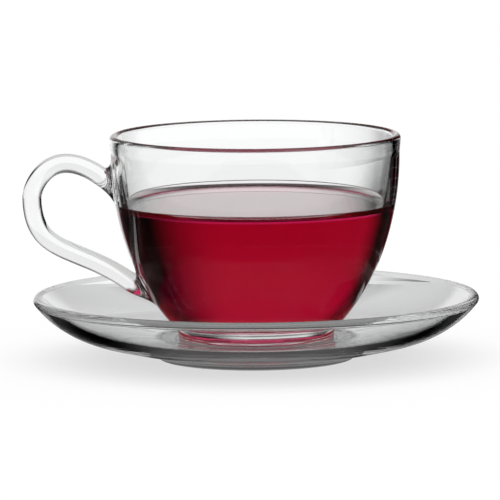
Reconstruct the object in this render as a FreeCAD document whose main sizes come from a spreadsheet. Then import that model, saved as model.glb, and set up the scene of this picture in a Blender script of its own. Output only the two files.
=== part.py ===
"""Glass cup of tea on its glass saucer, in millimetres.

The frame's origin is the middle of the saucer's foot, on the axis that the three pieces share.
+Z is up, the table is Z = 0, and the cup's handle points along -X. The pieces are:

saucer  a round dish with a foot ring, a shallow well for the cup's foot and a full round edge
cup     a deep bowl on a foot ring, fused to a loop handle of oval section with blended roots
tea     the drink, which fills the bowl's inside up to its level and climbs a little at the glass
"""
import FreeCAD, Part
import math
import os

import Sketcher
from FreeCAD import Vector

H_AXIS, V_AXIS = -1, -2
START, END, CENTRE = 1, 2, 3
TOUCHING = 0.02

SIZES = {
    # saucer
    "saucer_radius": 69.25,
    "saucer_height": 20.0,
    "saucer_edge": 2.9,
    "edge_slope": 51.5,
    "floor_slope": 13.0,
    "bend_radius": 50.0,
    "bend_height": 5.7,
    "saucer_foot_outer": 30.0,
    "saucer_foot_inner": 26.5,
    "saucer_foot_flare": 1.5,
    "saucer_recess": 0.8,
    "well_radius": 27.6,
    "well_height": 3.3,
    "well_step": 0.6,
    "foot_round": 0.5,
    # cup, whose foot stands in the saucer's well
    "rim_height": 70.0,
    "rim_radius": 45.2,
    "rim_wall": 2.7,
    "rim_round": 1.3,
    "bowl_radius": 44.85,
    "bowl_depth": 65.3,
    "bowl_centre": 64.0,
    "hollow_depth": 57.15,
    "hollow_flat": 8.0,
    "cup_floor": 11.5,
    "cup_foot_outer": 24.6,
    "cup_foot_inner": 21.2,
    "cup_recess": 1.7,
    # handle, whose path starts and ends inside the bowl
    "handle_start_side": -36.3,
    "handle_start_height": 49.3,
    "handle_start_slope": 33.0,
    "top_arm": 18.7,
    "top_bend": 11.2,
    "top_sweep": 112.0,
    "side_bend": 16.0,
    "side_sweep": 81.0,
    "low_bend": 96.0,
    "low_sweep": 14.0,
    "low_arm": 14.0,
    "handle_thick": 6.0,
    "handle_deep": 9.4,
    "top_blend": 3.6,
    "low_blend": 3.0,
    # tea
    "tea_level": 47.2,
    "tea_climb": 1.9,
    "tea_climb_width": 3.2,
}


def make_sheet(doc):
    """Write each size into a cell of its own and give the cell the size's name."""
    sheet = doc.addObject("Spreadsheet::Sheet", "dims")
    for row, (name, value) in enumerate(SIZES.items(), start=1):
        sheet.set(f"A{row}", name)
        sheet.set(f"B{row}", str(value))
        sheet.setAlias(f"B{row}", name)
    doc.recompute()
    return sheet


def make_body(doc, label):
    """Add an empty body whose label names its solid."""
    body = doc.addObject("PartDesign::Body", f"{label}_body")
    body.Label = label
    return body


def upright_sketch(body, name):
    """Add a sketch on the body's own XZ plane: its first axis is X and its second is Z."""
    sketch = body.newObject("Sketcher::SketchObject", name)
    plane = next(item for item in body.Origin.OriginFeatures if item.Role == "XZ_Plane")
    sketch.AttachmentSupport = [(plane, "")]
    sketch.MapMode = "FlatFace"
    return sketch


class Outline:
    """A chain of lines and arcs in a sketch, pinned to the sheet by expressions.

    A corner is a pair of expressions, for its distance along X and along Z. None in place of one
    leaves that distance to the curve that the corner lies on.
    """

    def __init__(self, body, name):
        self.sketch = upright_sketch(body, name)
        self.begin_corner = None
        self.first = None
        self.last = None
        self.corner = None
        self.heading = None
        self.pins = 0
        self.smooth_next = False

    def value(self, expression):
        """Work out an expression of the sheet's sizes as a plain number."""
        result = self.sketch.evalExpression(expression)
        return float(getattr(result, "Value", result))

    def point(self, corner):
        """Turn a pair of expressions into a point."""
        return Vector(self.value(corner[0]), self.value(corner[1]), 0)

    def bind(self, kind, arguments, expression):
        """Add a constraint with a size, and tie the size to an expression."""
        value = self.value(expression)
        if kind == "Angle":
            value = math.radians(value)
        index = self.sketch.addConstraint(Sketcher.Constraint(kind, *arguments, value))
        name = f"size{self.pins}"
        self.pins += 1
        self.sketch.renameConstraint(index, name)
        self.sketch.setExpression(f"Constraints.{name}", expression)

    def pin(self, geometry, position, corner):
        """Hold one point of the outline at its corner."""
        for kind, expression in zip(("DistanceX", "DistanceY"), corner):
            if expression == "0":
                axis = V_AXIS if kind == "DistanceX" else H_AXIS
                self.sketch.addConstraint(Sketcher.Constraint("PointOnObject", geometry, position, axis))
            elif expression is not None:
                self.bind(kind, (geometry, position), expression)

    def link(self, geometry, near, far, corner, heading, smooth=False):
        """Join a new piece to the chain's end and hold its far end at the corner."""
        if self.last is None:
            self.first = (geometry, near)
        else:
            kind = "Tangent" if smooth else "Coincident"
            self.sketch.addConstraint(Sketcher.Constraint(kind, *self.last, geometry, near))
        self.last = (geometry, far)
        self.heading = heading
        if corner is not None:
            self.pin(geometry, far, corner)

    def begin(self, corner):
        """Set the chain's first point."""
        self.begin_corner = corner
        self.corner = self.point(corner)

    def line(self, corner, end=None):
        """Draw a straight line to a corner. A point held by the next curve is given as end."""
        target = end or self.point(corner)
        geometry = self.sketch.addGeometry(Part.LineSegment(self.corner, target), False)
        if self.last is None:
            self.pin(geometry, START, self.begin_corner)
        self.link(geometry, START, END, corner, (target - self.corner).normalize(), self.smooth_next)
        self.smooth_next = False
        self.corner = target

    def bend(self, corner):
        """Draw the round arc that leaves the chain's end smoothly and reaches a corner."""
        target = self.point(corner)
        chord = target - self.corner
        left = Vector(-self.heading.y, self.heading.x, 0)
        radius = chord.Length ** 2 / (2 * chord.dot(left))
        centre = self.corner + left * radius
        circle = Part.Circle(centre, Vector(0, 0, 1), abs(radius))
        ends = [self.corner, target] if radius > 0 else [target, self.corner]
        angles = [math.atan2(p.y - centre.y, p.x - centre.x) for p in ends]
        geometry = self.sketch.addGeometry(Part.ArcOfCircle(circle, *angles), False)
        near, far = (START, END) if radius > 0 else (END, START)
        spoke = (target - centre).normalize() * math.copysign(1, radius)
        self.link(geometry, near, far, corner, Vector(-spoke.y, spoke.x, 0), smooth=True)
        self.corner = target

    def oval(self, corner, centre, half_width, half_height):
        """Draw an arc of an upright ellipse to a corner of which one distance is given.

        The ellipse is taller than it is wide, and the arc lies in its lower right quarter.
        """
        middle = self.point(centre)
        wide, tall = self.value(half_width), self.value(half_height)
        if corner[0] is None:
            height = self.value(corner[1])
            target = Vector(middle.x + wide * math.sqrt(1 - ((height - middle.y) / tall) ** 2), height, 0)
        else:
            side = self.value(corner[0])
            target = Vector(side, middle.y - tall * math.sqrt(1 - ((side - middle.x) / wide) ** 2), 0)
        ellipse = Part.Ellipse(middle + Vector(0, tall, 0), middle - Vector(wide, 0, 0), middle)
        rising = target.y > self.corner.y
        ends = [self.corner, target] if rising else [target, self.corner]
        angles = [ellipse.parameter(p) for p in ends]
        geometry = self.sketch.addGeometry(Part.ArcOfEllipse(ellipse, *angles), False)
        self.sketch.exposeInternalGeometry(geometry)
        tall_axis, wide_axis = geometry + 1, geometry + 2
        self.sketch.addConstraint(Sketcher.Constraint("Vertical", tall_axis))
        self.bind("Distance", (tall_axis,), f"2 * ({half_height})")
        self.bind("Distance", (wide_axis,), f"2 * ({half_width})")
        self.pin(geometry, CENTRE, centre)
        near, far = (START, END) if rising else (END, START)
        self.link(geometry, near, far, corner, None)
        self.corner = target

    def dip(self, across, level):
        """Draw the hollow arc from the chain's end down to a level line that it meets smoothly.

        Both are expressions: how far across the arc reaches, and the level's height.
        """
        width = self.value(across)
        target = Vector(self.corner.x - width, self.value(level), 0)
        climb = self.corner.y - target.y
        radius = (width ** 2 + climb ** 2) / (2 * climb)
        centre = target + Vector(0, radius, 0)
        angles = [math.atan2(p.y - centre.y, p.x - centre.x) for p in (target, self.corner)]
        circle = Part.Circle(centre, Vector(0, 0, 1), radius)
        geometry = self.sketch.addGeometry(Part.ArcOfCircle(circle, *angles), False)
        self.link(geometry, END, START, (None, level), None)
        self.bind("DistanceX", (geometry, START, geometry, END), across)
        self.smooth_next = True
        self.corner = target

    def close(self):
        """Draw the last straight line, back to the first point."""
        start = self.point(self.begin_corner)
        geometry = self.sketch.addGeometry(Part.LineSegment(self.corner, start), False)
        self.link(geometry, START, END, None, None)
        self.sketch.addConstraint(Sketcher.Constraint("Coincident", *self.last, *self.first))
        return self.sketch


def turn(body, kind, name, sketch):
    """Revolve an outline about the axis, as a PartDesign Revolution or Groove."""
    feature = body.newObject(f"PartDesign::{kind}", name)
    feature.Profile = sketch
    feature.ReferenceAxis = (sketch, ["V_Axis"])
    feature.Angle = 360
    sketch.Visibility = False
    body.Document.recompute()
    return feature


def round_edges(body, name, base, edges, size):
    """Fillet the named edges of a feature with a radius from the sheet."""
    fillet = body.newObject("PartDesign::Fillet", name)
    fillet.Base = (base, edges)
    fillet.setExpression("Radius", f"dims.{size}")
    body.Document.recompute()
    return fillet


def circles_at(feature, height):
    """Name the level circular edges at a height."""
    names = []
    for number, edge in enumerate(feature.Shape.Edges, start=1):
        if isinstance(edge.Curve, Part.Circle) and abs(edge.Curve.Center.z - height) < TOUCHING:
            names.append(f"Edge{number}")
    return names


def make_saucer(doc):
    """Turn the dish, then round the edges of its foot ring and its well."""
    body = make_body(doc, "saucer")
    half = "dims.saucer_edge / 2"
    lip_side = f"(dims.saucer_radius - {half})"
    lip_level = f"(dims.saucer_height - {half})"
    off_side = f"{half} * sin(dims.edge_slope * 1deg)"
    off_level = f"{half} * cos(dims.edge_slope * 1deg)"
    rise = "tan(dims.floor_slope * 1deg)"
    floor_side = "(dims.bend_radius - dims.saucer_edge * sin(dims.floor_slope * 1deg))"
    floor_level = "(dims.bend_height + dims.saucer_edge * cos(dims.floor_slope * 1deg))"
    outline = Outline(body, "saucer_outline")
    outline.begin(("0", "dims.saucer_recess"))
    outline.line(("dims.saucer_foot_inner - dims.saucer_recess", "dims.saucer_recess"))
    outline.line(("dims.saucer_foot_inner", "0"))
    outline.line(("dims.saucer_foot_outer", "0"))
    foot_top = "(dims.saucer_foot_outer + dims.saucer_foot_flare)"
    outline.line((foot_top, f"dims.bend_height - (dims.bend_radius - {foot_top}) * {rise}"))
    outline.line(("dims.bend_radius", "dims.bend_height"))
    outline.bend((f"{lip_side} + {off_side}", f"{lip_level} - {off_level}"))
    outline.bend((f"{lip_side} - {off_side}", f"{lip_level} + {off_level}"))
    outline.bend((floor_side, floor_level))
    well_top = "(dims.well_radius + dims.well_step)"
    outline.line((well_top, f"{floor_level} - ({floor_side} - {well_top}) * {rise}"))
    outline.line(("dims.well_radius", "dims.well_height"))
    outline.line(("0", "dims.well_height"))
    dish = turn(body, "Revolution", "dish", outline.close())
    round_edges(body, "foot_rounding", dish, circles_at(dish, 0), "foot_round")
    return body


def make_cup(doc, sheet):
    """Turn the bowl, add the handle, blend its roots, then hollow the bowl and round its rim."""
    body = make_body(doc, "cup")
    bowl = turn(body, "Revolution", "bowl", bowl_outline(body, sheet))
    handle = add_handle(body)
    blended = blend_roots(body, handle, sheet)
    hollow = turn(body, "Groove", "hollow", hollow_outline(body))
    rim = circles_at(hollow, sheet.rim_height)
    rounded = round_edges(body, "rim_rounding", hollow, rim, "rim_round")
    round_edges(body, "foot_rounding", rounded, circles_at(rounded, sheet.well_height), "foot_round")
    return body


def bowl_outline(body, sheet):
    """Outline the solid bowl on its foot ring: an ellipse below, and a slight flare to the rim."""
    outline = Outline(body, "bowl_outline")
    recess = "dims.well_height + dims.cup_recess"
    outline.begin(("0", recess))
    outline.line(("dims.cup_foot_inner - dims.cup_recess / 2", recess))
    outline.line(("dims.cup_foot_inner", "dims.well_height"))
    outline.line(("dims.cup_foot_outer", "dims.well_height"))
    foot = sheet.cup_foot_outer
    outline.line(("dims.cup_foot_outer", None), end=Vector(foot, bowl_height_at(sheet, foot), 0))
    centre = ("0", "dims.bowl_centre")
    outline.oval((None, "dims.bowl_centre"), centre, "dims.bowl_radius", "dims.bowl_depth")
    outline.line(("dims.rim_radius", "dims.rim_height - dims.rim_round"))
    outline.line(("dims.rim_radius", "dims.rim_height"))
    outline.line(("0", "dims.rim_height"))
    return outline.close()


def hollow_wall(body, name, top):
    """Begin an outline with the bowl's inside: a small flat floor, then an ellipse up to a height."""
    outline = Outline(body, name)
    centre = ("dims.hollow_flat", "dims.cup_floor + dims.hollow_depth")
    outline.begin(("0", "dims.cup_floor"))
    floor_end = outline.point(("dims.hollow_flat", "dims.cup_floor"))
    outline.line(("dims.hollow_flat", None), end=floor_end)
    half_width = "dims.rim_radius - dims.rim_wall - dims.hollow_flat"
    outline.oval((None, top), centre, half_width, "dims.hollow_depth")
    return outline


def hollow_outline(body):
    """Outline what is cut from the bowl: its inside, carried on past the rim."""
    outline = hollow_wall(body, "hollow_outline", "dims.cup_floor + dims.hollow_depth")
    above = "dims.rim_height + 1"
    outline.line(("dims.rim_radius - dims.rim_wall", above))
    outline.line(("0", above))
    return outline.close()


def handle_path(body):
    """Draw the handle's centre line: an arm, three smooth bends and an arm back into the bowl."""
    chain = Outline(body, "handle_path")
    sketch = chain.sketch
    begin = ("dims.handle_start_side", "dims.handle_start_height")
    place = chain.point(begin)
    heading = 180 - chain.value("dims.handle_start_slope")
    finish = place + ahead(heading) * chain.value("dims.top_arm")
    arm = sketch.addGeometry(Part.LineSegment(place, finish), False)
    chain.pin(arm, START, begin)
    chain.bind("Distance", (arm,), "dims.top_arm")
    chain.bind("Angle", (arm,), "(180 - dims.handle_start_slope) * 1deg")
    place, last = finish, (arm, END)
    for name, side in (("top", 1), ("side", 1), ("low", -1)):
        radius, sweep = chain.value(f"dims.{name}_bend"), side * chain.value(f"dims.{name}_sweep")
        spoke = heading - side * 90
        centre = place - ahead(spoke) * radius
        angles = [math.radians(angle) for angle in sorted((spoke, spoke + sweep))]
        circle = Part.Circle(centre, Vector(0, 0, 1), radius)
        arc = sketch.addGeometry(Part.ArcOfCircle(circle, *angles), False)
        near, far = (START, END) if side > 0 else (END, START)
        sketch.addConstraint(Sketcher.Constraint("Tangent", *last, arc, near))
        chain.bind("Radius", (arc,), f"dims.{name}_bend")
        chain.bind("Angle", (arc,), f"dims.{name}_sweep * 1deg")
        heading += sweep
        place, last = centre + ahead(spoke + sweep) * radius, (arc, far)
    finish = place + ahead(heading) * chain.value("dims.low_arm")
    arm = sketch.addGeometry(Part.LineSegment(place, finish), False)
    sketch.addConstraint(Sketcher.Constraint("Tangent", *last, arm, START))
    chain.bind("Distance", (arm,), "dims.low_arm")
    return sketch


def ahead(degrees):
    """Give the unit vector at an angle above +X in a sketch."""
    return Vector(math.cos(math.radians(degrees)), math.sin(math.radians(degrees)), 0)


def add_handle(body):
    """Sweep the handle's oval section along its path, wide side level."""
    path = handle_path(body)
    body.Document.recompute()
    section = body.newObject("Sketcher::SketchObject", "handle_section")
    section.AttachmentSupport = [(path, "Edge1"), (path, "Vertex1")]
    section.MapMode = "NormalToEdge"
    body.Document.recompute()
    deep = section.evalExpression("dims.handle_deep")
    thick = section.evalExpression("dims.handle_thick")
    shape = Part.Ellipse(Vector(deep / 2, 0, 0), Vector(0, thick / 2, 0), Vector(0, 0, 0))
    oval = section.addGeometry(shape, False)
    section.exposeInternalGeometry(oval)
    section.addConstraint(Sketcher.Constraint("Coincident", oval, CENTRE, H_AXIS, START))
    section.addConstraint(Sketcher.Constraint("Horizontal", oval + 1))
    for offset, name, value in ((1, "handle_deep", deep), (2, "handle_thick", thick)):
        index = section.addConstraint(Sketcher.Constraint("Distance", oval + offset, value))
        section.renameConstraint(index, name)
        section.setExpression(f"Constraints.{name}", f"dims.{name}")
    handle = body.newObject("PartDesign::AdditivePipe", "handle")
    handle.Profile = section
    handle.Spine = (path, [])
    body.Document.recompute()
    path.Visibility = section.Visibility = False
    return handle


def bowl_height_at(sheet, radius):
    """Work out the height at which the bowl's elliptical wall has an outer radius."""
    return sheet.bowl_centre - sheet.bowl_depth * math.sqrt(1 - (radius / sheet.bowl_radius) ** 2)


def on_wall(sheet, point):
    """Tell whether a point lies on the bowl's elliptical wall."""
    side = math.hypot(point.x, point.y) / sheet.bowl_radius
    drop = (point.z - sheet.bowl_centre) / sheet.bowl_depth
    return abs(math.hypot(side, drop) - 1) * sheet.bowl_radius < TOUCHING


def root_edges(feature, sheet):
    """Find the edges where the handle's surface meets the bowl's: each one's name and height."""
    found = {}
    for number, edge in enumerate(feature.Shape.Edges, start=1):
        points = edge.discretize(9)
        if all(point.x < 0 and on_wall(sheet, point) for point in points):
            found[f"Edge{number}"] = edge.BoundBox.Center.z
    return found


def blend_roots(body, handle, sheet):
    """Blend both ends of the handle into the bowl, the upper one first."""
    found = root_edges(handle, sheet)
    middle = (min(found.values()) + max(found.values())) / 2
    above = [name for name, height in found.items() if height > middle]
    top = round_edges(body, "top_blending", handle, above, "top_blend")
    below = [name for name, height in root_edges(top, sheet).items() if height < middle]
    return round_edges(body, "low_blending", top, below, "low_blend")


def make_tea(doc):
    """Turn the drink from the bowl's own inside, up to a level that climbs where it meets the glass."""
    body = make_body(doc, "tea")
    outline = hollow_wall(body, "tea_outline", "dims.tea_level + dims.tea_climb")
    outline.dip("dims.tea_climb_width", "dims.tea_level")
    outline.line(("0", "dims.tea_level"))
    turn(body, "Revolution", "drink", outline.close())
    return body


def main():
    """Build the document, check every object and write one solid for each piece."""
    doc = FreeCAD.newDocument("cup_of_tea")
    sheet = make_sheet(doc)
    bodies = [make_saucer(doc), make_cup(doc, sheet), make_tea(doc)]
    doc.recompute()
    for item in doc.Objects:
        if {"Invalid", "Error"} & set(item.State):
            raise RuntimeError(f"{item.Name} failed: {item.State}")
    for body in bodies:
        if body.Shape.isNull() or not body.Shape.isValid() or len(body.Shape.Solids) != 1:
            raise RuntimeError(f"{body.Label} isn't one valid solid")
    os.makedirs("parts", exist_ok=True)
    for body in bodies:
        body.Shape.exportStep(f"parts/{body.Label}.step")
        print(body.Label, round(body.Shape.Volume), body.Shape.optimalBoundingBox())


main()
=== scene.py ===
"""Glass cup of dark red tea on its saucer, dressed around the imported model.

All lengths in the classes are in millimetres, and become metres where something is made of them.
The glass and the drink are surfaces worked out with numpy: outlines turned about the
shared upright axis, and a handle carried along its path and blended into the bowl.
"""
import logging
import math
from dataclasses import dataclass
from enum import Enum

import bpy
import numpy as np
from mathutils import Matrix, Vector


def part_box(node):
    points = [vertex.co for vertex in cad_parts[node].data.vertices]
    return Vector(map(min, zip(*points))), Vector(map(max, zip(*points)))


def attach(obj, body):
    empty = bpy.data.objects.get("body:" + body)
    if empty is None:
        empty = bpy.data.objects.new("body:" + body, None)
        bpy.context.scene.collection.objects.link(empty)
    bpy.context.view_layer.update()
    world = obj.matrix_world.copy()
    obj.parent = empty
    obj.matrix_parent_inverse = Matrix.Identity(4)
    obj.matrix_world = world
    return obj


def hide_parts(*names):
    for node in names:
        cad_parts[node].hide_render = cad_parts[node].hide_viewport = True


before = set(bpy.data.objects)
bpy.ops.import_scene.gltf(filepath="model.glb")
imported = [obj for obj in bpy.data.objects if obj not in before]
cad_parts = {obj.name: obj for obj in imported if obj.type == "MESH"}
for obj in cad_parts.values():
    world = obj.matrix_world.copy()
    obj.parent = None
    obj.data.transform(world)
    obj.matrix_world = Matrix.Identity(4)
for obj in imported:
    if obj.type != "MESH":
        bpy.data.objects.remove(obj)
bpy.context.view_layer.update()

LOG = logging.getLogger("cup_of_tea")
MM = 0.001
WHITE = (1.0, 1.0, 1.0, 1.0)
TURN_COLUMNS = 256
OUTLINE_SPACING = 0.08
CORNER_POINTS = 24
WET_FINISH = 1


class Slot(Enum):
    """The record's material slots."""

    SAUCER = "saucer_glass"
    CUP = "cup_glass"
    TEA = "tea"


# ---------------------------------------------------------------- outlines and turned surfaces


def path_lengths(path: np.ndarray) -> np.ndarray:
    """Give the running length of a path at each of its points.

    Args:
        path: Points in order, one per row.

    Returns:
        The length from the first point to each point.
    """
    steps = np.linalg.norm(np.diff(path, axis=0), axis=1)
    return np.concatenate([[0.0], np.cumsum(steps)])


def along(path: np.ndarray, places: np.ndarray) -> np.ndarray:
    """Find the points at the given running lengths of a path.

    Args:
        path: Points in order, one per row.
        places: Running lengths.

    Returns:
        One interpolated point per place.
    """
    lengths = path_lengths(path)
    return np.stack([np.interp(places, lengths, column) for column in path.T], axis=-1)


def straight(start: tuple[float, float], end: tuple[float, float], count: int = 60) -> np.ndarray:
    """Give evenly spaced points on the straight line from start to end."""
    return np.linspace(start, end, count)


def oval_arc(centre: tuple[float, float], half: tuple[float, float], start: float, end: float,
             count: int = 500) -> np.ndarray:
    """Give points on an ellipse: centre plus (half width * cos, half height * sin) of the angle.

    Args:
        centre: Middle of the ellipse, as distance from the axis and height.
        half: Half width and half height.
        start: First angle in degrees, from the outward direction.
        end: Last angle in degrees.
        count: Number of points.

    Returns:
        The points in order.
    """
    angles = np.radians(np.linspace(start, end, count))
    return np.array(centre) + np.array(half) * np.stack([np.cos(angles), np.sin(angles)], axis=-1)


def joined(pieces: list[tuple[np.ndarray, float]]) -> np.ndarray:
    """Join stretches of an outline end to end and round the corners between them.

    A corner of reach d loses d of length on each side and gets the parabola
    (1-t)^2 * a + 2t(1-t) * corner + t^2 * b between the two cut ends.

    Args:
        pieces: Each stretch's points with the reach of the corner at its end.

    Returns:
        The whole outline, finely spaced.
    """
    result: list[np.ndarray] = []
    head = 0.0
    for number, (path, tail) in enumerate(pieces):
        total = path_lengths(path)[-1]
        count = max(int(total / OUTLINE_SPACING), 4)
        stretch = along(path, np.linspace(head, total - tail, count))
        result.append(stretch)
        if number + 1 < len(pieces) and tail > 0:
            following = pieces[number + 1][0]
            after = along(following, np.array([tail]))[0]
            t = np.linspace(0, 1, CORNER_POINTS)[1:-1, None]
            corner = (1 - t) ** 2 * stretch[-1] + 2 * t * (1 - t) * path[-1] + t ** 2 * after
            result.append(corner)
        head = tail
    outline = np.concatenate(result)
    keep = np.concatenate([[True], np.linalg.norm(np.diff(outline, axis=0), axis=1) > 1e-6])
    return outline[keep]


def chosen_rows(outline: np.ndarray, spacing: float, turn: float) -> np.ndarray:
    """Choose the running lengths at which an outline gets a row of vertices.

    Rows are evenly spaced in length / spacing + angle turned / turn, so that they crowd
    where the outline bends.

    Args:
        outline: The finely spaced outline.
        spacing: Largest distance between rows.
        turn: Largest change of direction between rows, in degrees.

    Returns:
        The running length of each row, ends included.
    """
    steps = np.diff(outline, axis=0)
    lengths = np.linalg.norm(steps, axis=1)
    headings = np.unwrap(np.arctan2(steps[:, 1], steps[:, 0]))
    bends = np.abs(np.diff(headings, prepend=headings[0]))
    measure = np.concatenate([[0.0], np.cumsum(lengths / spacing + np.degrees(bends) / turn)])
    wanted = np.linspace(0, measure[-1], int(math.ceil(measure[-1])) + 1)
    return np.interp(wanted, measure, path_lengths(outline))


def turned_points(outline: np.ndarray, places: np.ndarray, angles: np.ndarray) -> np.ndarray:
    """Turn points of an outline about the upright axis.

    Args:
        outline: Distances from the axis and heights.
        places: Running lengths along the outline.
        angles: Angle about the axis for each place, in radians.

    Returns:
        (radius * cos, radius * sin, height) for each place.
    """
    radius, height = np.moveaxis(along(outline, places), -1, 0)
    return np.stack([radius * np.cos(angles), radius * np.sin(angles), height], axis=-1)


def bezier(first: np.ndarray, leave: np.ndarray, arrive: np.ndarray, last: np.ndarray) -> np.ndarray:
    """Draw a cubic curve: (1-t)^3 * first + 3(1-t)^2 t * leave + 3(1-t) t^2 * arrive + t^3 * last.

    Args:
        first: Where it starts.
        leave: The point it sets out towards.
        arrive: The point it comes in from.
        last: Where it ends.

    Returns:
        Its points, finely spaced.
    """
    t = np.linspace(0, 1, 400)[:, None]
    return (1 - t) ** 3 * first + 3 * (1 - t) ** 2 * t * leave + 3 * (1 - t) * t ** 2 * arrive + t ** 3 * last


class MeshParts:
    """Vertices and faces gathered for one mesh."""

    def __init__(self) -> None:
        """Start with nothing."""
        self.points: list[np.ndarray] = []
        self.faces: list[np.ndarray] = []
        self.finishes: list[np.ndarray] = []
        self.count = 0

    def add_points(self, points: np.ndarray) -> np.ndarray:
        """Add vertices.

        Args:
            points: Array whose last axis is x, y, z.

        Returns:
            Their numbers, in the same layout.
        """
        shape = points.shape[:-1]
        total = int(np.prod(shape))
        self.points.append(points.reshape(-1, 3))
        numbers = np.arange(self.count, self.count + total).reshape(shape)
        self.count += total
        return numbers

    def add_quads(self, grid: np.ndarray, wrap: bool, keep: np.ndarray | None = None,
                  finish: np.ndarray | None = None) -> None:
        """Add the faces between neighbouring rows and columns of a grid of vertex numbers.

        Args:
            grid: Vertex numbers, one row per step along the shape.
            wrap: Whether the last column joins the first.
            keep: Which cells to make, or None for all.
            finish: Number of each row's material, or None for the first.
        """
        across = np.roll(grid, -1, axis=1) if wrap else grid[:, 1:]
        base = grid if wrap else grid[:, :-1]
        quads = np.stack([base[:-1], across[:-1], across[1:], base[1:]], axis=-1)
        numbers = np.zeros(quads.shape[:2], np.int32)
        if finish is not None:
            numbers += finish[:, None]
        if keep is not None:
            quads, numbers = quads[keep], numbers[keep]
        self.faces.append(quads.reshape(-1, 4))
        self.finishes.append(numbers.ravel())

    def add_cap(self, ring: np.ndarray, pole: np.ndarray, finish: int = 0) -> None:
        """Close a ring of vertices with triangles to one pole vertex.

        Args:
            ring: Vertex numbers round the opening.
            pole: The middle point.
            finish: Number of the material.
        """
        middle = np.full_like(ring, self.add_points(pole[None])[0])
        self.faces.append(np.stack([ring, np.roll(ring, -1), middle], axis=-1))
        self.finishes.append(np.full(len(ring), finish, np.int32))

    def build(self, name: str) -> bpy.types.Object:
        """Make the smooth closed mesh, facing outwards.

        Args:
            name: The object's name.

        Returns:
            The new object, at the origin and in metres.
        """
        points = np.concatenate(self.points) * MM
        used = np.zeros(len(points), bool)
        used[np.concatenate([block.ravel() for block in self.faces])] = True
        renumber = np.cumsum(used) - 1
        faces = [face for block in self.faces for face in renumber[block].tolist()]
        mesh = bpy.data.meshes.new(name)
        mesh.from_pydata(points[used].tolist(), [], faces)
        mesh.polygons.foreach_set("material_index", np.concatenate(self.finishes))
        if signed_volume(mesh) < 0:
            mesh.flip_normals()
        mesh.shade_smooth()
        mesh.validate()
        piece = bpy.data.objects.new(name, mesh)
        bpy.context.scene.collection.objects.link(piece)
        return piece


def signed_volume(mesh: bpy.types.Mesh) -> float:
    """Sum the volumes between each triangle and the origin.

    Args:
        mesh: A closed mesh.

    Returns:
        The volume, positive when the faces point outwards.
    """
    mesh.calc_loop_triangles()
    corners = np.empty(len(mesh.loop_triangles) * 3, np.int32)
    mesh.loop_triangles.foreach_get("vertices", corners)
    points = np.empty(len(mesh.vertices) * 3)
    mesh.vertices.foreach_get("co", points)
    a, b, c = points.reshape(-1, 3)[corners.reshape(-1, 3)].transpose(1, 0, 2)
    return float(np.einsum("ij,ij->i", a, np.cross(b, c)).sum() / 6)


def turned_solid(name: str, outline: np.ndarray, spacing: float, turn: float) -> bpy.types.Object:
    """Turn an outline that starts and ends on the axis into a closed solid.

    Args:
        name: The object's name.
        outline: Distances from the axis and heights, in order.
        spacing: Largest distance between rows.
        turn: Largest change of direction between rows, in degrees.

    Returns:
        The new object.
    """
    parts = MeshParts()
    places = chosen_rows(outline, spacing, turn)
    angles = np.linspace(0, 2 * math.pi, TURN_COLUMNS, endpoint=False)
    grid = parts.add_points(turned_points(outline, places[1:-1, None] + 0 * angles, angles))
    parts.add_quads(grid, wrap=True)
    parts.add_cap(grid[0][::-1], np.array([0, 0, outline[0, 1]]))
    parts.add_cap(grid[-1], np.array([0, 0, outline[-1, 1]]))
    return parts.build(name)


# ---------------------------------------------------------------- finishes


def bare(owner: bpy.types.Material | bpy.types.World) -> bpy.types.NodeTree:
    """Clear the nodes of a new material or world.

    Args:
        owner: The material or world.

    Returns:
        Its empty node tree.
    """
    owner.use_nodes = True
    owner.node_tree.nodes.clear()
    return owner.node_tree


def grey(level: float) -> tuple[float, float, float, float]:
    """Give the grey of a level."""
    return level, level, level, 1.0


def feed(tree: bpy.types.NodeTree, socket: bpy.types.NodeSocket, value: object) -> None:
    """Link another node's output to an input, or set the input to a plain value.

    Args:
        tree: The node tree.
        socket: The input.
        value: The output or the value.
    """
    if isinstance(value, bpy.types.NodeSocket):
        tree.links.new(value, socket)
    else:
        socket.default_value = value


def node(tree: bpy.types.NodeTree, kind: str, *ordered: object, **named: object) -> bpy.types.Node:
    """Add a node and set or link its inputs.

    Args:
        tree: The node tree.
        kind: The node's type name.
        ordered: Values or output sockets for its first inputs.
        named: Values or output sockets by input name, with _ for a space.

    Returns:
        The new node.
    """
    new = tree.nodes.new(kind)
    for socket, value in zip(new.inputs, ordered):
        feed(tree, socket, value)
    for name, value in named.items():
        feed(tree, new.inputs[name.replace("_", " ")], value)
    return new


def calc(tree: bpy.types.NodeTree, operation: str,
         *values: float | bpy.types.NodeSocket) -> bpy.types.NodeSocket:
    """Add a sum.

    Args:
        tree: The node tree.
        operation: Which sum, by its name in Blender.
        values: The numbers or sockets that go in.

    Returns:
        The result's socket.
    """
    step = node(tree, "ShaderNodeMath", *values)
    step.operation = operation
    return step.outputs[0]


def colour_mix(tree: bpy.types.NodeTree, share: bpy.types.NodeSocket, first: tuple[float, ...],
               second: tuple[float, ...]) -> bpy.types.NodeSocket:
    """Change from one colour to another as a share rises.

    Args:
        tree: The node tree.
        share: The second colour's share.
        first: The first colour.
        second: The second colour.

    Returns:
        The colour's socket.
    """
    mix = tree.nodes.new("ShaderNodeMix")
    mix.data_type = "RGBA"
    # The inputs of plain numbers and of vectors come between the share and the two colours.
    for place, value in ((0, share), (6, first), (7, second)):
        feed(tree, mix.inputs[place], value)
    return mix.outputs[2]


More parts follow.
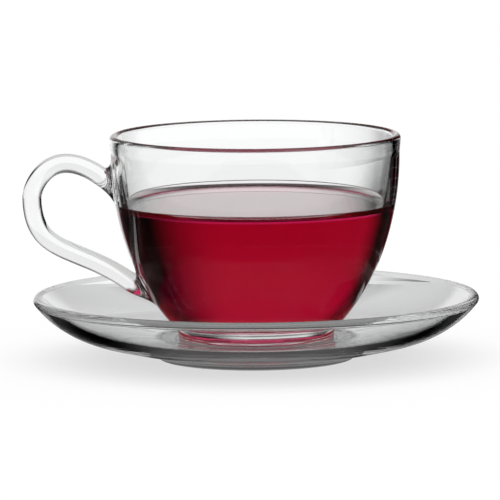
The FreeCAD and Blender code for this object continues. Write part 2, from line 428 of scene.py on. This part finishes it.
def ramp(tree: bpy.types.NodeTree, value: bpy.types.NodeSocket, start: float, end: float, low: float = 0.0,
         shape: str = "SMOOTHSTEP") -> bpy.types.NodeSocket:
    """Turn a value into a share that rises from low at start to 1 at end.

    Args:
        tree: The node tree.
        value: What is read.
        start: Where the share is lowest.
        end: Where the share is 1.
        low: The lowest share.
        shape: How it rises, by its name in Blender.

    Returns:
        The share's socket.
    """
    slope = node(tree, "ShaderNodeMapRange", Value=value, From_Min=start, From_Max=end, To_Min=low)
    slope.interpolation_type = shape
    return slope.outputs[0]


@dataclass(frozen=True)
class ClearGlass:
    """Polished pressed glass with the faint waviness that the mould leaves.

    Shine is the share of the reflection at its surface that is kept: where the drink touches the
    glass there is next to none.
    """

    name: str
    tint: tuple[float, float, float] = (0.985, 0.992, 0.99)
    waves_per_metre: float = 60.0
    wave_height: float = 0.06
    shine: float = 1.0

    def build(self) -> bpy.types.Material:
        """Make the material.

        Returns:
            The material.
        """
        material = bpy.data.materials.new(self.name)
        tree = bare(material)
        place = tree.nodes.new("ShaderNodeTexCoord").outputs["Object"]
        waves = node(tree, "ShaderNodeTexNoise", Vector=place, Scale=self.waves_per_metre, Detail=1.0)
        bump = node(tree, "ShaderNodeBump", Height=waves.outputs["Fac"], Strength=0.5,
                    Distance=self.wave_height * MM)
        shader = node(tree, "ShaderNodeBsdfPrincipled", Base_Color=(*self.tint, 1.0), Roughness=0.0, IOR=1.5,
                      Transmission_Weight=1.0, Normal=bump.outputs["Normal"], Specular_Tint=grey(self.shine))
        node(tree, "ShaderNodeOutputMaterial", Surface=shader.outputs["BSDF"])
        return material


@dataclass(frozen=True)
class RedTea:
    """Clear dark red drink.

    Most of its colour lies on its surface, so that it is an even red at any depth, and the rest
    grows with the depth, which swallows green and some of the blue. Over the last film below its
    level the surface's colour fades to clear, a painted lightening that keeps the flat of the drink and
    its climb at the glass pale, and only faces that look upwards get the coat that reflects the room.
    """

    level: float
    name: str = "dark_red_tea"
    colour: tuple[float, float, float] = (0.47, 0.008, 0.04)
    depth_colour: tuple[float, float, float] = (0.93, 0.1, 0.6)
    density: float = 30.0
    film: float = 0.6
    shine: float = 0.3

    def build(self) -> bpy.types.Material:
        """Make the material.

        Returns:
            The material.
        """
        material = bpy.data.materials.new(self.name)
        tree = bare(material)
        faces = tree.nodes.new("ShaderNodeNewGeometry").outputs["Normal"]
        upward = node(tree, "ShaderNodeSeparateXYZ", faces).outputs["Z"]
        top = ramp(tree, upward, 0.1, 0.3, shape="LINEAR")
        place = tree.nodes.new("ShaderNodeTexCoord").outputs["Object"]
        height = node(tree, "ShaderNodeSeparateXYZ", place).outputs["Z"]
        # Painted lightening: over its top film the drink's colour fades to clear, so its surface looks pale.
        clear = ramp(tree, height, (self.level - self.film) * MM, self.level * MM)
        shader = node(tree, "ShaderNodeBsdfPrincipled", Roughness=0.0, IOR=1.335, Transmission_Weight=1.0,
                      Base_Color=colour_mix(tree, clear, (*self.colour, 1.0), WHITE),
                      Specular_Tint=grey(self.shine), Coat_Weight=top, Coat_Roughness=0.0, Coat_IOR=1.5)
        depth = node(tree, "ShaderNodeVolumeAbsorption", Density=self.density,
                     Color=(*self.depth_colour, 1.0))
        node(tree, "ShaderNodeOutputMaterial", Surface=shader.outputs["BSDF"], Volume=depth.outputs["Volume"])
        return material


def dress(piece: bpy.types.Object, slot: Slot, node_name: str, *materials: bpy.types.Material) -> None:
    """Give a piece its materials and its place in the frame, and report it.

    Args:
        piece: The finished piece.
        slot: The record's slot for its material; not used.
        node_name: The node it replaces.
        materials: Its finishes, in the order of the numbers on its faces.
    """
    for material in materials:
        piece.data.materials.append(material)
    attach(piece, "root")
    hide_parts(node_name)
    LOG.info("%s: %d faces", piece.name, len(piece.data.polygons))


# ---------------------------------------------------------------- the object


@dataclass
class Saucer:
    """Round dish with a foot ring, a shallow well for the cup and a full round edge."""

    radius: float
    height: float
    edge: float = 2.9
    edge_slope: float = 51.5
    floor_slope: float = 13.0
    bend_radius: float = 50.0
    bend_height: float = 5.7
    foot_outer: float = 30.0
    foot_inner: float = 26.5
    foot_flare: float = 1.5
    recess: float = 0.8
    recess_flare: float = 0.9
    well_radius: float = 27.6
    well_flare: float = 0.7
    well_height: float = 3.3

    @property
    def lip(self) -> tuple[float, float]:
        """Middle of the edge's round, as distance from the axis and height."""
        return self.radius - self.edge / 2, self.height - self.edge / 2

    def bend(self, inset: float) -> np.ndarray:
        """Give the arc from the gentle floor to the steep wall, which turns from floor_slope to edge_slope.

        The underside and the upper side share the arc's middle, which is placed so that the underside's
        arc starts at the bend's radius and height and ends on the edge's round.

        Args:
            inset: Distance inside the underside.

        Returns:
            The arc's points, from the middle outwards.
        """
        rise, full = math.radians(self.floor_slope), math.radians(self.edge_slope)
        lip_radius, lip_level = self.lip
        end = (lip_radius + self.edge / 2 * math.sin(full), lip_level - self.edge / 2 * math.cos(full))
        chord = math.hypot(end[0] - self.bend_radius, end[1] - self.bend_height)
        size = chord / (2 * math.sin((full - rise) / 2))
        centre = (self.bend_radius - size * math.sin(rise), self.bend_height + size * math.cos(rise))
        reach = size - inset
        return oval_arc(centre, (reach, reach), self.floor_slope - 90, self.edge_slope - 90, 300)

    def outline(self) -> np.ndarray:
        """Draw the section.

        Returns:
            Its points from the middle of the underside, round the edge, to the middle of the well.
        """
        rise = math.tan(math.radians(self.floor_slope))
        under, over = self.bend(0.0), self.bend(self.edge)
        foot_top = self.foot_outer + self.foot_flare
        joint = (foot_top, self.bend_height - (self.bend_radius - foot_top) * rise)
        well_top = self.well_radius + self.well_flare
        well_edge = (well_top, over[0, 1] - (over[0, 0] - well_top) * rise)
        chamfer = (self.foot_inner - self.recess_flare, self.recess)
        half = (self.edge / 2, self.edge / 2)
        return joined([
            (straight((0, self.recess), chamfer), 0.6),
            (straight(chamfer, (self.foot_inner, 0)), 0.4),
            (straight((self.foot_inner, 0), (self.foot_outer, 0)), 0.7),
            (straight((self.foot_outer, 0), joint), 0.9),
            (straight(joint, tuple(under[0])), 0.0),
            (under, 0.0),
            (oval_arc(self.lip, half, self.edge_slope - 90, self.edge_slope + 90, 200), 0.0),
            (over[::-1], 0.0),
            (straight(tuple(over[0]), well_edge), 0.5),
            (straight(well_edge, (self.well_radius, self.well_height)), 0.35),
            (straight((self.well_radius, self.well_height), (0, self.well_height)), 0.0),
        ])

    def build(self, glass: bpy.types.Material) -> None:
        """Make and dress the saucer."""
        piece = turned_solid("saucer_dish", self.outline(), spacing=1.1, turn=5.0)
        dress(piece, Slot.SAUCER, "saucer", glass)


@dataclass
class Bowl:
    """The cup's bowl: an ellipse outside and inside, a round rim and a foot ring."""

    rim_radius: float
    rim_level: float
    foot_level: float
    floor_level: float
    wall: float = 2.7
    flare: float = 0.35
    flare_drop: float = 6.0
    depth: float = 65.3
    flat: float = 8.0
    foot_outer: float = 24.6
    foot_inner: float = 21.2
    recess: float = 1.7
    standing_gap: float = 0.03

    @property
    def lip_level(self) -> float:
        """Height of the middle of the rim's round."""
        return self.rim_level - self.wall / 2

    def inner_wall(self, swell: float = 0.0) -> np.ndarray:
        """Give the inside from the rim's level down to the edge of the flat floor, moved out by swell."""
        half = (self.rim_radius - self.wall - self.flat + swell, self.lip_level - self.floor_level + swell)
        return oval_arc((self.flat, self.lip_level), half, 0, -90)

    def outer(self) -> np.ndarray:
        """Draw the outside: a foot, an ellipse, and a flare that adds (3t^2 - 2t^3) of its width.

        Returns:
            The points from the middle of the underside up to the rim's outer edge.
        """
        widest = self.rim_radius - self.flare
        centre = self.rim_level - self.flare_drop
        foot_bottom = self.foot_level + self.standing_gap
        ceiling = foot_bottom + self.recess
        start = -math.degrees(math.acos(self.foot_outer / widest))
        wall = oval_arc((0, centre), (widest, self.depth), start, 0)
        t = np.linspace(0, 1, 60)
        flare = self.flare * t * t * (3 - 2 * t)
        rise = np.stack([widest + flare, centre + t * (self.lip_level - centre)], -1)
        chamfer = (self.foot_inner - self.recess / 2, ceiling)
        return joined([
            (straight((0, ceiling), chamfer), 0.8),
            (straight(chamfer, (self.foot_inner, foot_bottom)), 0.5),
            (straight((self.foot_inner, foot_bottom), (self.foot_outer, foot_bottom)), 0.8),
            (straight((self.foot_outer, foot_bottom), tuple(wall[0])), 2.2),
            (wall, 0.0),
            (rise, 0.0),
        ])

    def inner(self) -> np.ndarray:
        """Draw the rim's round and the inside.

        Returns:
            The points from the rim's outer edge down to the middle of the floor.
        """
        lip = (self.rim_radius - self.wall / 2, self.lip_level)
        return joined([
            (oval_arc(lip, (self.wall / 2, self.wall / 2), 0, 180, 200), 0.0),
            (self.inner_wall(), 0.0),
            (straight((self.flat, self.floor_level), (0, self.floor_level)), 0.0),
        ])


@dataclass(frozen=True)
class Root:
    """Where an end of the handle spreads into the bowl.

    Rows and columns count the bowl's cells that it takes the place of, clearance is how far from
    the bowl the plain handle starts, and flipped marks the end that the path reaches last.
    """

    height: float
    half_tall: float
    half_wide: float
    rows: int
    columns: int
    clearance: float
    flipped: bool


@dataclass(frozen=True)
class Spread:
    """One end of the handle spread over the bowl.

    Border numbers the bowl's vertices round it, rings are its points from there outwards, angles
    place each column on the oval section, and start is where on the path the rings end.
    """

    border: np.ndarray
    rings: np.ndarray
    angles: np.ndarray
    start: float


@dataclass
class Handle:
    """Loop handle of oval section: two smooth curves that meet at its furthest reach."""

    reach: float
    thick: float = 6.0
    deep: float = 9.4
    top_joint: tuple[float, float] = (-43.0, 53.15)
    top_slope: float = 42.4
    top_pull: float = 26.06
    side_level: float = 50.68
    side_pull_up: float = 4.1
    side_pull_down: float = 18.94
    low_joint: tuple[float, float] = (-38.0, 23.33)
    low_slope: float = 37.9
    low_pull: float = 20.5
    roots: tuple[Root, Root] = (
        Root(54.3, half_tall=7.6, half_wide=7.4, rows=22, columns=18, clearance=3.6, flipped=False),
        Root(24.3, half_tall=10.4, half_wide=7.2, rows=26, columns=14, clearance=3.4, flipped=True),
    )

    def path(self) -> np.ndarray:
        """Draw the centre line as two cubic curves in the upright plane.

        Returns:
            Its points from the upper root round to the lower one, finely spaced.
        """
        def away(slope: float) -> np.ndarray:
            """Give the direction away from the bowl that rises at a slope in degrees."""
            return np.array([-math.cos(math.radians(slope)), math.sin(math.radians(slope))])

        side = np.array([-(self.reach - self.thick / 2), self.side_level])
        top, low = np.array(self.top_joint), np.array(self.low_joint)
        up, down = np.array([0, self.side_pull_up]), np.array([0, -self.side_pull_down])
        first = bezier(top, top + self.top_pull * away(self.top_slope), side + up, side)
        second = bezier(side, side + down, low + self.low_pull * away(self.low_slope), low)
        return np.concatenate([first, second[1:]])


@dataclass
class Cup:
    """Bowl and handle as one closed piece of glass, wet inside up to wet_level."""

    bowl: Bowl
    handle: Handle
    wet_level: float
    row_gap: float = 0.3
    flat_steps: int = 7
    flare_steps: int = 14
    tube_rings: int = 110
    heading_step: float = 0.05

    def __post_init__(self) -> None:
        """Work out the bowl's outline and its rows, one of which lies at the drink's edge."""
        outer = self.bowl.outer()
        self.outline = np.concatenate([outer, self.bowl.inner()[1:]])
        self.outer_length = path_lengths(outer)[-1]
        rows = chosen_rows(self.outline, spacing=1.0, turn=5.0)
        lengths = path_lengths(self.outline)
        inside = lengths > self.outer_length + math.pi * self.bowl.wall / 2
        self.wet_place = float(np.interp(-self.wet_level, -self.outline[inside, 1], lengths[inside]))
        rows = rows[np.abs(rows - self.wet_place) > self.row_gap]
        self.places = np.sort(np.append(rows, self.wet_place))
        self.angles = np.linspace(0, 2 * math.pi, TURN_COLUMNS, endpoint=False)

    def surface(self, flat: np.ndarray) -> np.ndarray:
        """Find points on the bowl's surface.

        Args:
            flat: Angle about the axis and running length along the outline.

        Returns:
            The points.
        """
        return turned_points(self.outline, flat[..., 1], flat[..., 0])

    def place_at(self, height: float) -> float:
        """Find where the outer wall passes a height.

        Args:
            height: The height.

        Returns:
            The running length along the outline.
        """
        lengths = path_lengths(self.outline)
        wall = (lengths < self.outer_length) & (self.outline[:, 0] > self.bowl.foot_outer + 0.5)
        return float(np.interp(height, self.outline[wall, 1], lengths[wall]))

    def opening(self, root: Root) -> tuple[np.ndarray, slice, slice]:
        """Choose the cells that a root replaces, and list the vertices round them.

        Args:
            root: The handle's root.

        Returns:
            Row and column of each vertex round the opening, and the opening's rows and columns.
        """
        middle = int(np.argmin(np.abs(self.places - self.place_at(root.height))))
        row, column = middle - root.rows // 2, TURN_COLUMNS // 2 - root.columns // 2
        across = np.arange(root.columns)
        up = np.arange(root.rows)
        low_edge = np.stack([np.full(root.columns, row), column + across], -1)
        right_edge = np.stack([row + up, np.full(root.rows, column + root.columns)], -1)
        high_edge = np.stack([np.full(root.columns, row + root.rows), column + root.columns - across], -1)
        left_edge = np.stack([row + root.rows - up, np.full(root.rows, column)], -1)
        loop = np.concatenate([low_edge, right_edge, high_edge, left_edge])
        if root.flipped:
            loop[:, 0] = 2 * row + root.rows - loop[:, 0]
        return loop, slice(row, row + root.rows), slice(column, column + root.columns)

    def root_rings(self, root: Root, loop: np.ndarray,
                   path: np.ndarray) -> tuple[np.ndarray, np.ndarray, float]:
        """Spread one end of the handle over the bowl.

        The first rings lie on the bowl and change from the opening's square outline to an oval.
        The others are cubic curves that leave the bowl along its surface and join the handle
        along its path.

        Args:
            root: The root's sizes.
            loop: Rows and columns round the opening.
            path: The handle's centre line, starting at this root.

        Returns:
            The rings, the section angle of each of their columns, and where on the path they end.
        """
        square = np.stack([self.angles[loop[:, 1]], self.places[loop[:, 0]]], -1)
        middle = np.array([math.pi, self.place_at(root.height)])
        radius = along(self.outline, middle[1:])[0, 0]
        half = np.array([root.half_wide / radius, root.half_tall])
        angle = np.arctan2(*((square - middle) / half).T[::-1])
        oval = middle + half * np.stack([np.cos(angle), np.sin(angle)], -1)
        steps = np.linspace(0, 1, self.flat_steps)[1:, None, None]
        flat_rings = self.surface(square + (oval - square) * steps)
        nudge = self.surface(oval + 0.01 * (middle - oval)) - flat_rings[-1]
        inward = nudge / np.linalg.norm(nudge, axis=-1, keepdims=True)
        section_angle = -angle if root.flipped else angle
        lengths = path_lengths(path)
        outside = self.outline[:len(self.outline) // 2]
        clear = -path[:, 0] - np.interp(path[:, 1], outside[:, 1], outside[:, 0])
        start = float(lengths[np.argmax(clear > root.clearance)])
        ring, ahead = self.section(path, np.array([start]), section_angle[None], root.flipped)
        size = np.linalg.norm(ring[0] - flat_rings[-1], axis=-1, keepdims=True)
        t = np.linspace(0, 1, self.flare_steps)[1:-1, None, None]
        leave, arrive = inward * size, ahead[0] * size
        flare = ((2 * t ** 3 - 3 * t ** 2 + 1) * flat_rings[-1] + (t ** 3 - 2 * t ** 2 + t) * leave
                 + (-2 * t ** 3 + 3 * t ** 2) * ring[0] + (t ** 3 - t ** 2) * arrive)
        return np.concatenate([flat_rings, flare]), section_angle, start

    def section(self, path: np.ndarray, places: np.ndarray, angles: np.ndarray,
                backwards: bool = False) -> tuple[np.ndarray, np.ndarray]:
        """Place the handle's oval section at points of its path.

        Each point is centre + cos(angle) * half depth * level + sin(angle) * half thickness * outward,
        where outward is the path's heading turned towards the outside of the loop.

        Args:
            path: Centre line in the upright plane.
            places: Running lengths of the sections.
            angles: Angle of each column of each section.
            backwards: Whether the path runs from the lower end.

        Returns:
            The sections' points, and each section's heading.
        """
        centres = along(path, places)
        heading = along(path, places + self.heading_step) - along(path, places - self.heading_step)
        heading /= np.linalg.norm(heading, axis=-1, keepdims=True)
        ahead = np.stack([heading[:, 0], 0 * heading[:, 0], heading[:, 1]], -1)[:, None]
        outward = np.stack([heading[:, 1], 0 * heading[:, 0], -heading[:, 0]], -1)[:, None]
        if backwards:
            outward = -outward
        level = np.array([0.0, -1.0, 0.0])
        middle = np.stack([centres[:, 0], 0 * centres[:, 0], centres[:, 1]], -1)[:, None]
        across = np.cos(angles)[..., None] * self.handle.deep / 2 * level
        through = np.sin(angles)[..., None] * self.handle.thick / 2 * outward
        return middle + across + through, ahead

    def tube(self, path: np.ndarray, top: Spread, low: Spread) -> np.ndarray:
        """Carry the oval section along the path between the two roots.

        Its columns turn evenly from the angles at one root to those at the other.

        Args:
            path: The handle's centre line.
            top: The upper root.
            low: The lower root.

        Returns:
            The rings' points, from the upper root to the lower one.
        """
        share = np.linspace(0, 1, self.tube_rings)
        places = top.start + share * (path_lengths(path)[-1] - low.start - top.start)
        first, last = np.unwrap(top.angles), np.unwrap(low.angles)
        last = last - 2 * math.pi * round(float((last - first).mean() / (2 * math.pi)))
        return self.section(path, places, first + share[:, None] * (last - first))[0]

    def build(self, glass: bpy.types.Material, wet_glass: bpy.types.Material) -> None:
        """Make and dress the cup.

        Args:
            glass: The finish of the whole.
            wet_glass: The finish inside, where the drink touches the glass.
        """
        parts = MeshParts()
        flat = np.stack(np.meshgrid(self.angles, self.places[1:-1]), -1)
        grid = parts.add_points(self.surface(flat))
        keep = np.ones((len(grid) - 1, TURN_COLUMNS), bool)
        path = self.handle.path()
        ends = []
        for root, way in zip(self.handle.roots, (path, path[::-1])):
            loop, rows, columns = self.opening(root)
            keep[rows.start - 1:rows.stop - 1, columns] = False
            ends.append(Spread(grid[loop[:, 0] - 1, loop[:, 1]], *self.root_rings(root, loop, way)))
        wet = np.where(self.places[1:-2] > self.wet_place - 0.01, WET_FINISH, 0)
        parts.add_quads(grid, wrap=True, keep=keep, finish=wet)
        parts.add_cap(grid[0][::-1], np.array([0, 0, self.outline[0, 1]]))
        parts.add_cap(grid[-1], np.array([0, 0, self.outline[-1, 1]]), finish=WET_FINISH)
        top, low = ends
        rings = parts.add_points(np.concatenate([top.rings, self.tube(path, top, low), low.rings[::-1]]))
        parts.add_quads(np.concatenate([top.border[None], rings, low.border[None]]), wrap=True)
        dress(parts.build("cup_bowl_and_handle"), Slot.CUP, "cup", glass, wet_glass)


@dataclass
class Tea:
    """The drink, from the floor of the bowl up to a level that climbs a little at the glass."""

    bowl: Bowl
    top: float
    climb: float = 1.9
    climb_width: float = 3.2
    overlap: float = 0.25

    @property
    def level(self) -> float:
        """Height of the flat of the drink."""
        return self.top - self.climb

    def outline(self) -> np.ndarray:
        """Draw the section: it reaches just into the wall, and an arc draws its surface up at the glass.

        Returns:
            Its points from the middle of the floor, up the wall, to the middle of the surface.
        """
        wall = self.bowl.inner_wall(self.overlap)[::-1]
        inside = self.bowl.inner_wall()[::-1]
        wall = wall[wall[:, 1] <= self.top]
        edge = float(np.interp(self.top, inside[:, 1], inside[:, 0]))
        floor = self.bowl.floor_level - self.overlap
        size = (self.climb_width ** 2 + self.climb ** 2) / (2 * self.climb)
        end = -math.degrees(math.acos(1 - self.climb / size))
        rise = oval_arc((edge - self.climb_width, self.level + size), (size, size), -90 - end, -90, 120)
        return joined([
            (straight((0, floor), (self.bowl.flat, floor)), 0.0),
            (wall, 0.0),
            (straight(tuple(wall[-1]), (edge, self.top)), 0.0),
            (rise, 0.0),
            (straight((edge - self.climb_width, self.level), (0, self.level)), 0.0),
        ])

    def build(self, material: bpy.types.Material) -> None:
        """Make and dress the drink."""
        piece = turned_solid("tea_drink", self.outline(), spacing=1.2, turn=5.0)
        dress(piece, Slot.TEA, "tea", material)


# ---------------------------------------------------------------- the studio


class Seen(Enum):
    """Which rays meet a dark card: those just reflected, those ever reflected, or all that met glass."""

    REFLECTED = "reflected"
    MIRRORED = "mirrored"
    BOTH = "both"


@dataclass(frozen=True)
class Card:
    """A dark card beside or under the object that only glass shows, glowing at a fixed grey: a painted
    reflection and refraction that draws the dark lines that shape clear glass, and painted shade under the
    dish.

    It spans the angles from first to last, in degrees from the right of the cup towards its back,
    and from its edge at low to its edge at high, each as distance from the axis and height. It
    thins out over feather degrees at its ends, and over the share feather_up at its long edges.
    """

    name: str
    first: float
    last: float
    low: tuple[float, float]
    high: tuple[float, float]
    seen: Seen
    shade: float = 0.0
    feather: float = 0.0
    feather_up: float = 0.0

    @classmethod
    def standing(cls, name: str, ends: tuple[float, float], radius: float, levels: tuple[float, float],
                 seen: Seen, **look: float) -> "Card":
        """Choose a card that stands at a distance from the axis, from one level to another."""
        return cls(name, *ends, (radius, levels[0]), (radius, levels[1]), seen, **look)

    @classmethod
    def lying(cls, name: str, ends: tuple[float, float], radii: tuple[float, float], level: float,
              seen: Seen, **look: float) -> "Card":
        """Choose a card that lies at a level, from one distance from the axis to another."""
        return cls(name, *ends, (radii[0], level), (radii[1], level), seen, **look)

    def material(self) -> bpy.types.Material:
        """Make the card's painted glow, a fixed grey that no lamp lights, which thins out towards its edges.

        Cover is the product of the shares that rise from 0 at each soft edge to 1 over its feather.
        A mirrored card covers only what a ray meets once it was reflected.

        Returns:
            The material.
        """
        material = bpy.data.materials.new(f"{self.name}_paper")
        tree = bare(material)
        place = node(tree, "ShaderNodeSeparateXYZ", tree.nodes.new("ShaderNodeUVMap").outputs[0]).outputs
        shares = []
        for value, soft in zip(place, (self.feather / (self.last - self.first), self.feather_up)):
            if soft:
                shares += [ramp(tree, value, 0.0, soft), ramp(tree, value, 1.0, 1.0 - soft)]
        if self.seen is Seen.MIRRORED:
            mirrors = tree.nodes.new("ShaderNodeLightPath").outputs["Glossy Depth"]
            shares.append(calc(tree, "GREATER_THAN", mirrors, 0.0))
        cover = 1.0
        for share in shares:
            cover = calc(tree, "MULTIPLY", share, cover)
        # Painted reflection: the card glows at its shade and is lit by no lamp.
        painted_glow = node(tree, "ShaderNodeEmission", Color=grey(self.shade), Strength=1.0)
        clear = tree.nodes.new("ShaderNodeBsdfTransparent")
        mix = node(tree, "ShaderNodeMixShader", cover, clear.outputs[0], painted_glow.outputs[0])
        node(tree, "ShaderNodeOutputMaterial", Surface=mix.outputs[0])
        return material

    def build(self) -> None:
        """Make the card: each point is its direction times its radius, at its height."""
        across, share = np.meshgrid(np.linspace(0, 1, 64), np.linspace(0, 1, 12))
        angles = np.radians(self.first + (self.last - self.first) * across)
        radius = self.low[0] + (self.high[0] - self.low[0]) * share
        height = self.low[1] + (self.high[1] - self.low[1]) * share
        points = np.stack([radius * np.cos(angles), radius * np.sin(angles), height], -1).reshape(-1, 3) * MM
        numbers = np.arange(share.size).reshape(share.shape)
        quads = np.stack([numbers[:-1, :-1], numbers[:-1, 1:], numbers[1:, 1:], numbers[1:, :-1]], -1)
        mesh = bpy.data.meshes.new(self.name)
        mesh.from_pydata(points.tolist(), [], quads.reshape(-1, 4).tolist())
        corner = np.empty(len(mesh.loops), np.int32)
        mesh.loops.foreach_get("vertex_index", corner)
        places = np.stack([across, share], -1).reshape(-1, 2)
        mesh.uv_layers.new(name="card").data.foreach_set("uv", places[corner].ravel())
        mesh.materials.append(self.material())
        card = bpy.data.objects.new(self.name, mesh)
        bpy.context.scene.collection.objects.link(card)
        # Only rays off or through the glass meet this painted reflection: it casts no shadow and lights
        # nothing.
        card.visible_camera = card.visible_diffuse = False
        card.visible_shadow = card.visible_volume_scatter = False
        card.visible_transmission = self.seen is not Seen.REFLECTED


@dataclass
class Studio:
    """Pale floor, soft light, dark cards that paint reflections and shade into the glass, and the camera.

    The floor is a little darker under the dish, a painted shadow on top of the shadow it catches:
    between open_from and open_to from the axis it rises from the share floor_near of its brightness to the
    whole.
    """

    distance: float = 2000.0
    height: float = 278.6
    sideways: float = -1.8
    pitch: float = 6.98
    roll: float = -0.4
    lens: float = 466.9
    floor_radius: float = 4000.0
    floor_drop: float = 0.02
    floor_grey: float = 0.22
    floor_lift: float = 0.81
    # Painted shadow under the dish: the floor's share of brightness near the axis, and where it fades back.
    floor_near: float = 0.8
    open_from: float = 35.0
    open_to: float = 85.0
    room_grey: float = 0.9
    most_bounces: int = 64
    most_mirrored: int = 48
    cards: tuple[Card, ...] = (
        # Painted dark reflections and refractions standing round the object.
        Card.standing("card_right_behind", (26, 86), 350, (0, 500), Seen.BOTH, feather=20),
        Card.standing("card_left_behind", (113, 152), 350, (0, 500), Seen.BOTH, feather=15),
        Card.standing("card_over_behind", (66, 126), 350, (118, 500), Seen.BOTH, shade=0.15,
                      feather=4, feather_up=0.12),
        Card.standing("card_around", (-240, 60), 500, (0, 300), Seen.REFLECTED, shade=0.02, feather=8),
        # Painted dark and grey patches of floor, seen only in and through the glass.
        Card.lying("card_right_lying", (20, 82), (350, 160), 0.4, Seen.BOTH, feather=18),
        Card.lying("card_left_lying", (116, 156), (350, 160), 0.4, Seen.BOTH, feather=14),
        Card.lying("card_dish_behind", (28, 152), (160, 60), 0.3, Seen.BOTH, shade=0.74, feather=10),
        Card.lying("card_line_behind", (68, 112), (150, 82), 0.5, Seen.BOTH, shade=0.03, feather=14),
        # Painted shade under the dish and the cup, seen only in and through the glass.
        Card.lying("card_under_left", (172, 224), (40, 78), 0.4, Seen.BOTH, feather=16, feather_up=0.3),
        Card.lying("card_under_right", (322, 366), (38, 76), 0.4, Seen.BOTH, feather=15, feather_up=0.3),
        Card.lying("card_under_cup", (0, 360), (34, 0), 0.5, Seen.BOTH, shade=0.25, feather_up=0.1),
        Card.lying("card_under_behind", (30, 150), (30, 70), 0.6, Seen.BOTH, shade=0.25,
                   feather=20, feather_up=0.15),
        # Painted dark reflection of the floor round the dish, then painted shade under it, seen only once
        # reflected.
        Card.lying("card_lying", (-240, 60), (500, 74), 0.6, Seen.MIRRORED, shade=0.02, feather=8),
        Card.lying("card_under", (0, 360), (78, 26), 0.2, Seen.MIRRORED, shade=0.02),
        Card.lying("card_under_front", (215, 325), (78, 26), 0.3, Seen.MIRRORED, shade=0.08, feather=30),
        Card.lying("card_under_middle", (0, 360), (26, 0), 0.8, Seen.MIRRORED, shade=0.08),
    )

    def camera(self) -> None:
        """Place the camera in front of the cup, a little above its rim."""
        data = bpy.data.cameras.new("camera")
        data.sensor_width = 36.0
        data.lens = self.lens
        data.clip_end = 50.0
        camera = bpy.data.objects.new("camera", data)
        tilt = Matrix.Rotation(math.radians(90 - self.pitch), 4, "X")
        turn = Matrix.Rotation(math.radians(self.roll), 4, "Z")
        place = Matrix.Translation(Vector((self.sideways, -self.distance, self.height)) * MM)
        camera.matrix_world = place @ tilt @ turn
        bpy.context.scene.collection.objects.link(camera)
        bpy.context.scene.camera = camera

    def floor(self) -> None:
        """Lay the floor, white to the eye, with the soft shadow it catches and a painted shadow under the
        dish.
        """
        parts = MeshParts()
        angles = np.linspace(0, 2 * math.pi, 96, endpoint=False)
        ring = self.floor_radius * np.stack([np.cos(angles), np.sin(angles), 0 * angles], -1)
        parts.add_cap(parts.add_points(ring), np.zeros(3))
        floor = parts.build("floor")
        floor.location.z = -self.floor_drop * MM
        floor.data.materials.append(self.floor_paint())

    def floor_paint(self) -> bpy.types.Material:
        """Make the floor's matt paint, with a glow that only the camera, mirrors and glass see; both are
        darkened under the dish as a painted shadow.

        Returns:
            The material.
        """
        material = bpy.data.materials.new("pale_floor")
        tree = bare(material)
        light = tree.nodes.new("ShaderNodeLightPath").outputs
        mirrored = calc(tree, "MAXIMUM", light["Is Glossy Ray"], light["Is Transmission Ray"])
        seen = calc(tree, "MAXIMUM", light["Is Camera Ray"], mirrored)
        away = node(tree, "ShaderNodeVectorMath", tree.nodes.new("ShaderNodeTexCoord").outputs["Object"])
        away.operation = "LENGTH"
        # Painted shadow: paint and glow are darker near the axis, by the floor's own position.
        painted_shadow_fade = ramp(tree, away.outputs["Value"], self.open_from * MM, self.open_to * MM, self.floor_near)
        matt = node(tree, "ShaderNodeBsdfDiffuse", Color=calc(tree, "MULTIPLY", painted_shadow_fade, self.floor_grey))
        lift = calc(tree, "MULTIPLY", seen, calc(tree, "MULTIPLY", painted_shadow_fade, self.floor_lift))
        glow = node(tree, "ShaderNodeEmission", Color=WHITE, Strength=lift)
        both = node(tree, "ShaderNodeAddShader", matt.outputs[0], glow.outputs[0])
        node(tree, "ShaderNodeOutputMaterial", Surface=both.outputs[0])
        return material

    def world(self) -> None:
        """Fill the room with plain soft light, white to the eye."""
        world = bpy.data.worlds.new("studio")
        bpy.context.scene.world = world
        tree = bare(world)
        seen = tree.nodes.new("ShaderNodeLightPath").outputs["Is Camera Ray"]
        room = node(tree, "ShaderNodeBackground", Color=grey(self.room_grey), Strength=1.0)
        white = node(tree, "ShaderNodeBackground", Color=WHITE, Strength=1.0)
        mix = node(tree, "ShaderNodeMixShader", seen, room.outputs[0], white.outputs[0])
        node(tree, "ShaderNodeOutputWorld", Surface=mix.outputs[0])

    def build(self) -> None:
        """Set up the whole studio."""
        self.camera()
        self.floor()
        self.world()
        for card in self.cards:
            card.build()
        scene = bpy.context.scene
        scene.view_settings.view_transform = "Standard"
        scene.cycles.max_bounces = scene.cycles.transmission_bounces = self.most_bounces
        scene.cycles.glossy_bounces = self.most_mirrored


def main() -> None:
    """Build the studio and the object, and report each piece."""
    logging.basicConfig(level=logging.INFO, format="%(message)s")
    saucer_box = np.array(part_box("saucer")) / MM
    cup_box = np.array(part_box("cup")) / MM
    tea_box = np.array(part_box("tea")) / MM
    Studio().build()
    Saucer(radius=saucer_box[1, 0], height=saucer_box[1, 2]).build(ClearGlass("clear_saucer_glass").build())
    bowl = Bowl(rim_radius=cup_box[1, 1], rim_level=cup_box[1, 2], foot_level=cup_box[0, 2],
                floor_level=tea_box[0, 2])
    cup = Cup(bowl, Handle(reach=-cup_box[0, 0]), wet_level=tea_box[1, 2])
    cup.build(ClearGlass("clear_cup_glass").build(), ClearGlass("wet_cup_glass", shine=0.08).build())
    tea = Tea(bowl, top=tea_box[1, 2])
    tea.build(RedTea(level=tea.level).build())


if __name__ == "__main__":
    main()
